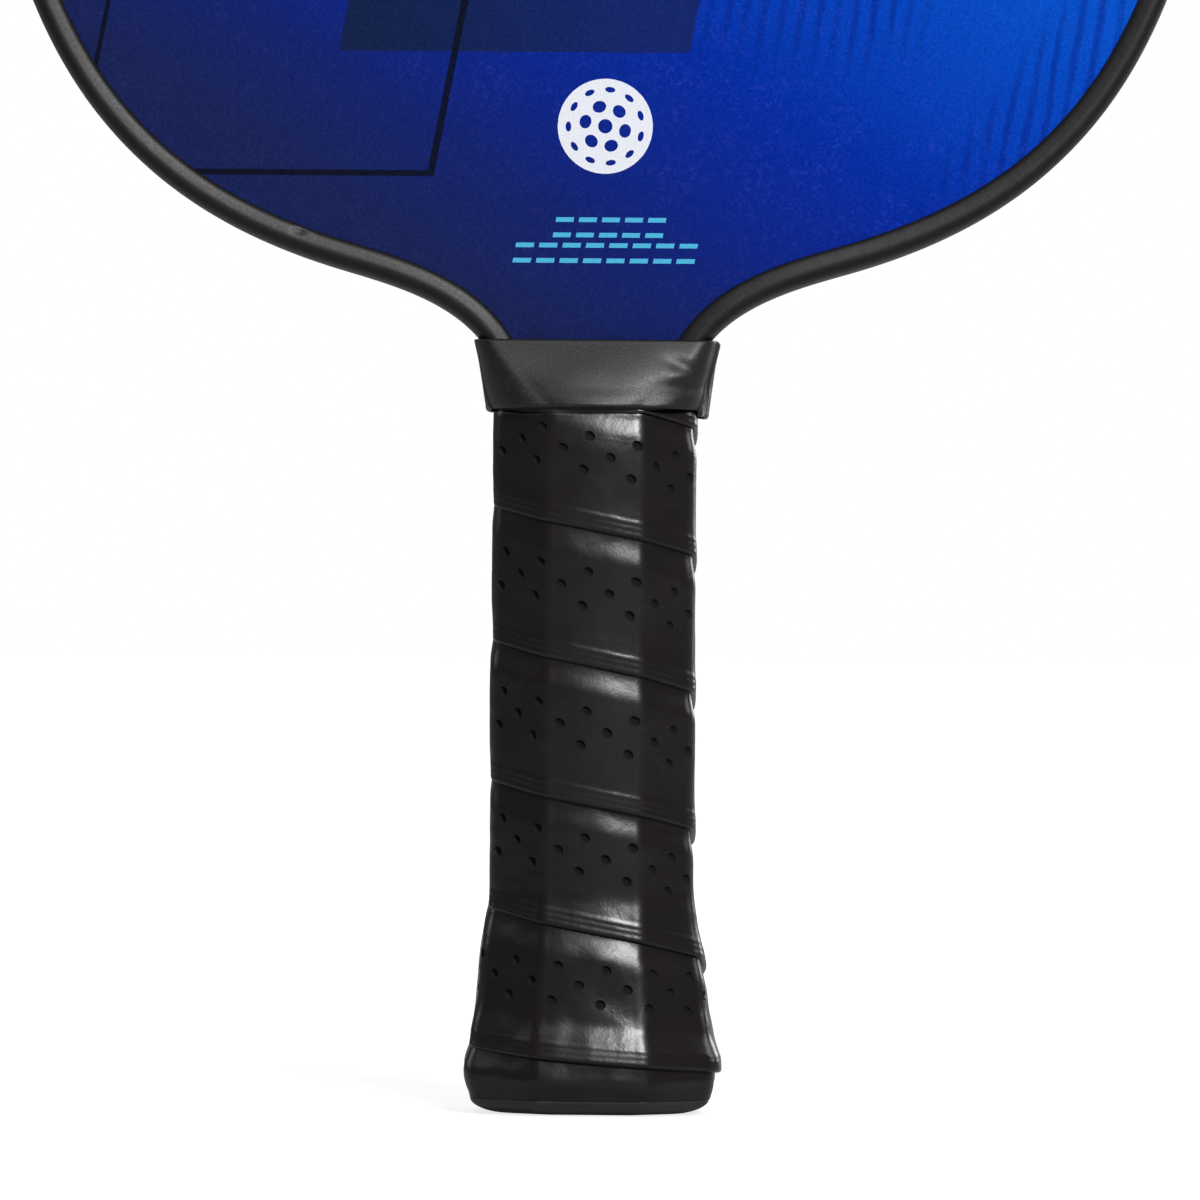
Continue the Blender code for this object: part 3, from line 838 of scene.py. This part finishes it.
def tape_points(turn, above, depth, outer):
    """Points on the tape: columns' turns, rows' distances, and how deep under the surface."""
    low = seam_height(turn + 1)
    pitch = seam_height(turn) - low
    height = low + above
    reach = tape_outside(turn, above, pitch) if outer else tape_inside(above)
    reach = reach - TAPE_END_SQUEEZE * ease(111.8 * MM, 113.4 * MM, height)
    swell = ease(2.4 * MM, 6 * MM, height) * (1 - ease(23 * MM, 31 * MM, height))
    reach = reach + TAPE_SWELL * swell * bell(turn % 1.0, *SWOLLEN_SIDE)
    if outer:
        facing = np.cos(2 * pi * turn) ** 2
        reach = reach - TAPE_END_SAG * facing * ease(104 * MM, 112.5 * MM, height)
        reach = reach - TAPE_TUCK * (1 - ease(2.4 * MM, 6 * MM, height))
    crown = FACET_CROWN * ease(2 * MM, 9 * MM, height)
    crown = crown * (1 - 0.5 * ease(106 * MM, 113 * MM, height))
    rounding = CORNER_INSET + TAPE_TOP_ROUNDING * ease(106 * MM, 112 * MM, height)
    x, y = section_point(turn, *handle_section(height), reach - depth, rounding, crown)
    return np.column_stack((x, y, height))


def hole_places(turns, rows, pitch, room):
    """Column and row of each hole that the turn above leaves clear."""
    columns = len(turns)
    first = int(round(np.interp(0.0, turns, np.arange(columns))))
    row_zero = len(rows) - PLAIN_ROWS - 1
    holes = []
    for row, shift in HOLE_ROWS:
        row += row_zero
        for column in range((first + shift) % HOLE_CELLS, columns - 3, HOLE_CELLS):
            spare = min(pitch[column] - 0.6 * MM, room[column] - 3.2 * MM) - rows[row]
            if column > 2 and spare > 1 * MM:
                holes.append((column, row))
    return holes


def spots_round(holes, span):
    """Every grid place that lies within the span of columns and rows from a hole."""
    return {(column + dc, row + dr) for column, row in holes for dc in span for dr in span}


def build_tape():
    """Perforated grip tape wound down the handle, each turn lapping over the one below."""
    turns, rows = tape_columns(), tape_rows()
    columns, full = len(turns), rows[-1]
    low = seam_height(turns + 1)
    pitch = seam_height(turns) - low
    room = np.minimum(pitch + TAPE_OVERLAP, np.maximum(TAPE_TOP_Z - low, 0.3 * MM))
    holes = hole_places(turns, rows, pitch, room)
    inside_hole = spots_round(holes, (-1, 0, 1))
    skipped = spots_round(holes, (-2, -1, 0, 1))
    index, places, faces = {}, [], []

    def vertex(column, row, depth):
        places.append((column, row, depth))
        return len(places) - 1

    for column in range(columns):
        for row in range(len(rows)):
            if (column, row) not in inside_hole:
                index[column, row] = vertex(column, row, 0.0)
    for column in range(columns - 1):
        for row in range(len(rows) - 1):
            if (column, row) not in skipped:
                faces.append((index[column, row], index[column + 1, row],
                              index[column + 1, row + 1], index[column, row + 1]))

    # Each hole is cut from a square of 4 by 4 cells, whose 16 border vertices lead to its rings
    border = [(2, k) for k in (-2, -1, 0, 1)] + [(k, 2) for k in (2, 1, 0, -1)]
    border += [(-a, -b) for a, b in border]
    angles = [atan2(dr, dc) for dc, dr in border]
    for column, row in holes:
        ring = [index[column + dc, row + dr] for dc, dr in border]
        for radius, depth in HOLE_RINGS:
            size = radius * MM / CELL
            under = [
                vertex(column + size * cos(angle), row + size * sin(angle), depth * MM)
                for angle in angles
            ]
            for k in range(16):
                n = (k + 1) % 16
                faces.append((ring[k], ring[n], under[n], under[k]))
            ring = under
        floor = vertex(column, row, HOLE_DEPTH)
        for k in range(16):
            faces.append((ring[k], ring[(k + 1) % 16], floor))

    place = np.array(places)
    turn = np.interp(place[:, 0], np.arange(columns), turns)
    above = np.interp(place[:, 1], np.arange(len(rows)), rows)
    width = np.interp(place[:, 0], np.arange(columns), room)
    above = squeezed(above, width, full)
    points = tape_points(turn, above, place[:, 2], True)
    relief = uneven(points, TAPE_WAVES) + uneven(points, LOWER_TAPE_WAVES) * ease(3.0, 4.2, turn)
    shown = ease(0.0, 1.5 * MM, seam_height(turn) - points[:, 2]) * ease(0.0, 3 * MM, above)
    points = tape_points(turn, above, place[:, 2] - relief * shown, True)

    inner_rows = np.append(rows[:BAND_ROWS + 1:4], rows[BAND_ROWS + 4::5])
    inner_rows = np.append(inner_rows[:-1], full)
    below = len(points)
    inner_turn = np.repeat(turns, len(inner_rows))
    inner_above = squeezed(np.tile(inner_rows, columns), np.repeat(room, len(inner_rows)), full)
    under = tape_points(inner_turn, inner_above, 0.0, False)
    count = len(inner_rows)
    for column in range(columns - 1):
        a, b = below + column * count, below + (column + 1) * count
        for row in range(count - 1):
            faces.append((a + row, a + row + 1, b + row + 1, b + row))
        faces.append((index[column + 1, 0], index[column, 0], a, b))
        last = len(rows) - 1
        faces.append((index[column, last], index[column + 1, last], b + count - 1,
                      a + count - 1))
    for column, turned in ((0, False), (columns - 1, True)):
        edge = [index[column, row] for row in range(len(rows))]
        edge += [below + column * count + row for row in range(count)][::-1]
        faces.append(tuple(edge[::-1] if turned else edge))
    points = np.vstack((points, under))
    tape = add_piece("grip_tape", points, faces, tape_look(), "grip_skin", 60.0)
    # How deep each point lies in a hole, by which the skin's colour is darkened as painted shade
    depths = np.append(place[:, 2] / HOLE_DEPTH, np.zeros(len(under)))
    tape.data.attributes.new(DEPTH_NAME, "FLOAT", "POINT").data.foreach_set("value", depths)
    return tape


# -------- rubber collar

# Its lower edge's height by turn, and its section's sizes by share of its height. Its folds are
# dimples beside the flap: depth, middle, length, width and tilt in degrees
COLLAR_BOTTOM = (
    (0.0, 112.9), (0.10, 112.6), (0.19, 111.5), (0.30, 111.4), (0.42, 112.2), (0.5, 112.6),
    (0.62, 112.3), (0.75, 112.4), (0.88, 112.6), (1.0, 112.9),
)
COLLAR_TOP_Z = 123.8
COLLAR_HALF_X = ((0, 17.1), (0.14, 17.4), (0.43, 17.9), (0.7, 18.5), (0.92, 19.15), (1, 19.35))
COLLAR_HALF_Y = ((0, 14.45), (0.05, 14.4), (0.3, 13.3), (0.55, 12.2), (0.8, 11.0), (1, 9.9))
COLLAR_FRONT = ((0, 10.2), (0.3, 12.6), (0.7, 15.4), (1, 17.3))
COLLAR_SIDE = ((0, 8.4), (1, 6.6))
COLLAR_ROUNDING = ((0, 9.6), (0.3, 7.3), (0.7, 4.3), (1, 2.8))
COLLAR_THICKNESS = 0.6 * MM
COLLAR_CROWN = 1.1 * MM
COLLAR_FOLDS = (
    (0.50, (14.2, 119.5), 2.8, 1.15, -22), (0.62, (13.8, 116.4), 3.5, 1.25, 4),
    (0.30, (11.0, 114.6), 2.8, 1.1, 24),
)
COLLAR_WAVES = ((0.07, 6, 4.2),)
FLAP_EDGE = 0.171
FLAP_HEIGHT = 0.7 * MM


def fold(x, z, middle, length, width, tilt):
    """A smooth elongated dimple of depth 1 round a place, tilted by an angle in degrees."""
    angle = radians(tilt)
    dx, dz = x - middle[0] * MM, z - middle[1] * MM
    along = (dx * cos(angle) + dz * sin(angle)) / (length * MM)
    across = (dz * cos(angle) - dx * sin(angle)) / (width * MM)
    return np.exp(-along ** 2 - across ** 2)


def collar_points(turn, rise, inwards):
    """Points on the collar: turns round it, share of its height, and depth under its skin."""
    low = monotone(COLLAR_BOTTOM, turn % 1.0) * MM
    height = low + (COLLAR_TOP_Z * MM - low) * rise
    half_x, half_y, front, side, rounding = (
        monotone(table, rise) * MM
        for table in (COLLAR_HALF_X, COLLAR_HALF_Y, COLLAR_FRONT, COLLAR_SIDE, COLLAR_ROUNDING)
    )
    x, y = section_point(turn, half_x, half_y, front, side, 0.0, rounding)
    folds = sum(depth * MM * fold(x, height, *shape) for depth, *shape in COLLAR_FOLDS)
    relief = np.where((y < 0) & (x > 0), -folds, 0.0)
    flap = ease(FLAP_EDGE, FLAP_EDGE + 0.004, turn) * (1 - ease(0.28, 0.38, turn))
    flap *= 1 - 0.5 * ease(0.955, 1.0, rise)
    relief += FLAP_HEIGHT * flap
    relief -= 0.50 * MM * bell(turn, FLAP_EDGE - 0.010, 0.009) * ease(0.0, 0.25, rise)
    lip = np.minimum(rise, 1 - rise) / 0.035
    relief -= 0.22 * MM * (1 - np.sqrt(np.maximum(1 - np.maximum(1 - lip, 0) ** 2, 0)))
    relief += 0.06 * MM * bell(rise, 0.05, 0.03)
    crown = COLLAR_CROWN * (1 - 0.5 * ease(0.3, 1.0, rise))
    x, y = section_point(turn, half_x, half_y, front, side, relief - inwards, rounding, crown)
    return np.stack((x, y, height), axis=-1)


def build_collar():
    """The rubber collar stretched from the grip's end over the neck, lapped at its right."""
    turns = np.arange(300) / 300
    turns = np.unique(np.append(turns, FLAP_EDGE + np.linspace(-0.002, 0.006, 13)))
    rows = np.concatenate((np.linspace(0, 0.04, 7)[:-1], np.linspace(0.04, 0.96, 56),
                           np.linspace(0.96, 1, 7)[1:]))
    back = np.linspace(0.985, 0.015, 18)
    turn, rise = np.meshgrid(turns, rows)
    outside = collar_points(turn, rise, 0.0)
    wobble = uneven(outside.reshape(-1, 3), COLLAR_WAVES).reshape(turn.shape)
    outside = collar_points(turn, rise, -wobble)
    turn, rise = np.meshgrid(turns, back)
    inside = collar_points(turn, rise, COLLAR_THICKNESS)
    points = np.concatenate((outside, inside)).reshape(-1, 3)
    faces = grid_faces(len(rows) + len(back), len(turns), wrap_rows=True)
    return add_piece("rubber_collar_band", points, faces, collar_look(),
                     "rubber_collar")


# -------- butt cap

# Half width and height of the rings on the cap's end and round its rim
CAP_END = (
    (1.2, 0.42), (4.6, 0.42), (4.9, 0.36), (5.1, 0.24), (6.1, 0.24), (6.3, 0.36), (6.6, 0.42),
    (8.7, 0.42), (9.0, 0.30), (9.2, 0.08), (9.6, 0.0), (12.4, 0.0),
)
CAP_RIM = (
    (13.2, 0.0), (14.6, 0.13), (15.9, 0.38), (17.1, 0.78), (18.0, 1.22), (18.65, 1.7),
    (18.98, 2.14), (19.04, 2.38), (18.6, 2.44),
)
CAP_TOP_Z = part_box("butt_cap")[1].z
CAP_SOCKET = 12.7 * MM
CAP_SOCKET_FLOOR_Z = 3.2 * MM
CAP_ROUNDING = 2.4 * MM
CAP_COLUMNS = 240


def cap_ring(half_x, height):
    """One ring round the cap."""
    half_y = half_x - THICKNESS_LESS * min(1.0, half_x / CAP_SOCKET)
    front = front_facet(half_x) if half_x > HANDLE_HALF_WIDTH else FRONT_FACET * half_x
    inset = min(CAP_ROUNDING, 0.25 * half_x)
    turns = np.arange(CAP_COLUMNS) / CAP_COLUMNS
    x, y = section_point(turns, half_x, half_y, front, SIDE_FACET * half_y, 0.0, inset)
    return np.column_stack((x, y, np.full(CAP_COLUMNS, height)))


def build_cap():
    """The butt cap, from the moulded ring on its end round its rim and down its socket."""
    rings = [cap_ring(half * MM, z * MM) for half, z in CAP_END]
    rings += [cap_ring(half * MM, z * MM) for half, z in rounded_line(CAP_RIM)]
    for z in np.linspace(2.6 * MM, CAP_TOP_Z, 14):
        rings.append(cap_ring(monotone(FLARE, z / MM) * MM, z))
    rings.append(cap_ring(CAP_SOCKET, CAP_TOP_Z))
    rings.append(cap_ring(CAP_SOCKET, CAP_SOCKET_FLOOR_Z))
    faces = grid_faces(len(rings), CAP_COLUMNS)
    faces.append(tuple(range(CAP_COLUMNS)))
    last = (len(rings) - 1) * CAP_COLUMNS
    faces.append(tuple(range(last, last + CAP_COLUMNS)))
    return add_piece("butt_cap_shell", np.vstack(rings), faces, cap_look(),
                     "butt_cap")


# -------- printed marks

# The ball's holes lie in rings: distance from its middle, number, radius, and how much narrower
# they are. A row of dashes has its left and right ends, its height and its number of pairs
INK = 0.03 * MM
BALL_MIDDLE = (1.3, 158.0)
BALL_RADIUS = 7.6
BALL_HOLES = ((0, 1, 1.15, 1.0), (3.25, 6, 1.1, 0.86), (5.9, 11, 0.82, 0.55))
DASH_ROWS = ((-7.0, 10.6, 140.2, 5), (-13.4, 15.7, 136.1, 8))
DASH_HEIGHT = 3.2
DASH_STROKE = 0.75
DASH_GAP = 0.85


def ball_outlines():
    """A ball with round holes, smaller and narrower towards its rim."""
    def loop(x, z, across, along, angle, points):
        turns = [2 * pi * k / points for k in range(points)]
        cosine, sine = cos(angle), sin(angle)
        return [
            (x + along * cos(t) * cosine - across * sin(t) * sine,
             z + along * cos(t) * sine + across * sin(t) * cosine)
            for t in turns
        ]
    x, z = BALL_MIDDLE
    outlines = [loop(x, z, BALL_RADIUS, BALL_RADIUS, 0.0, 120)]
    for number, (reach, count, size, narrow) in enumerate(BALL_HOLES):
        for k in range(count):
            angle = 2 * pi * (k + 0.5 * number) / count + 0.3
            outlines.append(loop(x + reach * cos(angle), z + reach * sin(angle),
                                 size, size * narrow, angle, 36))
    return outlines


def dash_outlines():
    """Two rows of paired leaning dashes."""
    outlines = []
    for left, right, low, count in DASH_ROWS:
        pitch = (right - left + DASH_GAP) / count
        for k in range(count):
            for base in (0.0, DASH_HEIGHT - DASH_STROKE):
                start, end = left + k * pitch, left + (k + 1) * pitch - DASH_GAP
                lean, top = LEAN * base, LEAN * (base + DASH_STROKE)
                z = low + base
                outlines.append([
                    (start + lean, z), (end + lean, z),
                    (end + top, z + DASH_STROKE), (start + top, z + DASH_STROKE),
                ])
    return outlines


def print_mark(name, outlines, material, side):
    """A thin layer of ink on one face: side is -1 for the front and 1 for the rear."""
    curve = bpy.data.curves.new(name, "CURVE")
    curve.dimensions = "2D"
    curve.fill_mode = "BOTH"
    curve.extrude = INK / 2
    for outline in outlines:
        spline = curve.splines.new("POLY")
        spline.points.add(len(outline) - 1)
        for point, (x, z) in zip(spline.points, outline):
            point.co = (x * MM, z * MM, 0.0, 1.0)
        spline.use_cyclic_u = True
    holder = bpy.data.objects.new(name + "_outline", curve)
    filled = bpy.data.meshes.new_from_object(holder)
    bpy.data.objects.remove(holder)
    points = [
        (-side * v.co.x, side * (FILM_Y + INK / 2 + v.co.z), v.co.y) for v in filled.vertices
    ]
    faces = [tuple(polygon.vertices) for polygon in filled.polygons]
    return add_piece(name, points, faces, material, sharp=30.0)


# -------- stage, lights and camera

CAMERA_DISTANCE = 1.55
VIEW_WIDTH = 192 * MM
VIEW_MIDDLE = (1.05 * MM, 82.2 * MM)
CAMERA_ROLL = radians(0.45)
LIGHT_AIM = Vector((0.0, 0.0, 0.12))
LIGHTS = {
    "key": ((0.31, -0.82, 0.47), 1.6, (0.5, 0.42), 27.0),
    "fill": ((0.05, -0.66, 0.75), 1.8, (1.3, 0.9), 5.0),
    "rear_right": ((0.50, 0.82, 0.28), 1.6, (0.6, 0.9), 7.0),
    "rear_left": ((-0.22, 0.84, 0.50), 1.7, (0.9, 0.9), 16.0),
    "side_right": ((0.88, 0.30, 0.42), 1.6, (0.5, 0.9), 4.5),
    "side_left": ((-0.88, 0.36, 0.42), 1.6, (0.5, 0.9), 2.5),
    "front_left": ((-0.86, -0.24, 0.45), 1.6, (0.4, 0.45), 0.45),
}
FLOOR_HALF = 12.0
PALE_GLOW = 0.08


def add_camera():
    """A long lens straight in front of the handle, level with the middle of the view."""
    camera = bpy.data.cameras.new("camera")
    camera.sensor_width = 36.0
    camera.lens = camera.sensor_width * (CAMERA_DISTANCE - FILM_Y) / VIEW_WIDTH
    holder = add_object("camera", camera)
    holder.location = (VIEW_MIDDLE[0], -CAMERA_DISTANCE, VIEW_MIDDLE[1])
    back = Vector((0.0, -1.0, 0.0))
    up = Vector((-sin(CAMERA_ROLL), 0.0, cos(CAMERA_ROLL)))
    holder.rotation_mode = "YXZ"
    holder.rotation_euler = Matrix((up.cross(back), up, back)).transposed().to_euler("YXZ")
    bpy.context.scene.camera = holder


def pale_glow(tree):
    """Full strength where the camera looks, and little for all other light."""
    path = tree.nodes.new("ShaderNodeLightPath")
    strength = tree.nodes.new("ShaderNodeMapRange")
    tree.links.new(path.outputs["Is Camera Ray"], strength.inputs["Value"])
    strength.inputs["To Min"].default_value = PALE_GLOW
    return strength.outputs["Result"]


def add_stage():
    """A wide pale floor, a little darker round the paddle, under an even pale surround."""
    half = FLOOR_HALF
    mesh = bpy.data.meshes.new("floor")
    corners = [(-half, -half, 0), (half, -half, 0), (half, half, 0), (-half, half, 0)]
    mesh.from_pydata(corners, [], [(0, 1, 2, 3)])
    floor = add_object("floor", mesh)
    floor.location.z = -0.05 * MM
    floor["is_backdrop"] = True
    look = Look("pale_floor", Base_Color=(0.3, 0.3, 0.3), Roughness=0.9,
                Specular_IOR_Level=0.0, Emission_Color=(1.0, 1.0, 1.0))
    reach = look.node("VectorMath", look.place, operation="LENGTH")
    fade = look.node("MapRange", reach.outputs["Value"], 0.25, 1.0, 0.78, 1.0)
    glow = look.times(pale_glow(look.tree), fade.outputs["Result"])
    look.set("Emission Strength", glow)
    mesh.materials.append(look.material)

    world = bpy.data.worlds.new("surround")
    world.use_nodes = True
    tree = world.node_tree
    background = tree.nodes["Background"]
    background.inputs["Color"].default_value = (1.0, 1.0, 1.0, 1.0)
    tree.links.new(pale_glow(tree), background.inputs["Strength"])
    bpy.context.scene.world = world
    bpy.context.scene.view_settings.view_transform = "Standard"


def add_lights():
    """Square soft lights aimed at the grip, by direction, distance, size and power: a key above
    and right of the camera, a fill overhead, and weaker ones that draw the edges."""
    for name, (direction, distance, size, power) in LIGHTS.items():
        light = bpy.data.lights.new(name, "AREA")
        light.shape = "RECTANGLE"
        light.size, light.size_y = size
        light.energy = power
        holder = add_object(name, light)
        way = Vector(direction).normalized()
        holder.location = way * distance + LIGHT_AIM
        holder.rotation_euler = way.to_track_quat("Z", "Y").to_euler()


# -------- the paddle

def build_paddle():
    """Every piece that the CAD nodes leave to this script."""
    graphic = graphic_look()
    dress_inner_nodes(graphic)
    build_guard()
    build_tape()
    build_collar()
    build_cap()
    white = ink_look("white_ink", srgb(216, 219, 228))
    cyan = ink_look("cyan_ink", srgb(56, 166, 206))
    for place, side in (("front", -1), ("rear", 1)):
        print_mark(f"{place}_ball_mark", ball_outlines(), white, side)
        print_mark(f"{place}_dash_rows", dash_outlines(), cyan, side)


add_camera()
add_stage()
add_lights()
build_paddle()

sizes = {"cad": CAD_BOUNDS, "visual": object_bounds()}
sizes = {name: [list(corner) for corner in box] for name, box in sizes.items()}
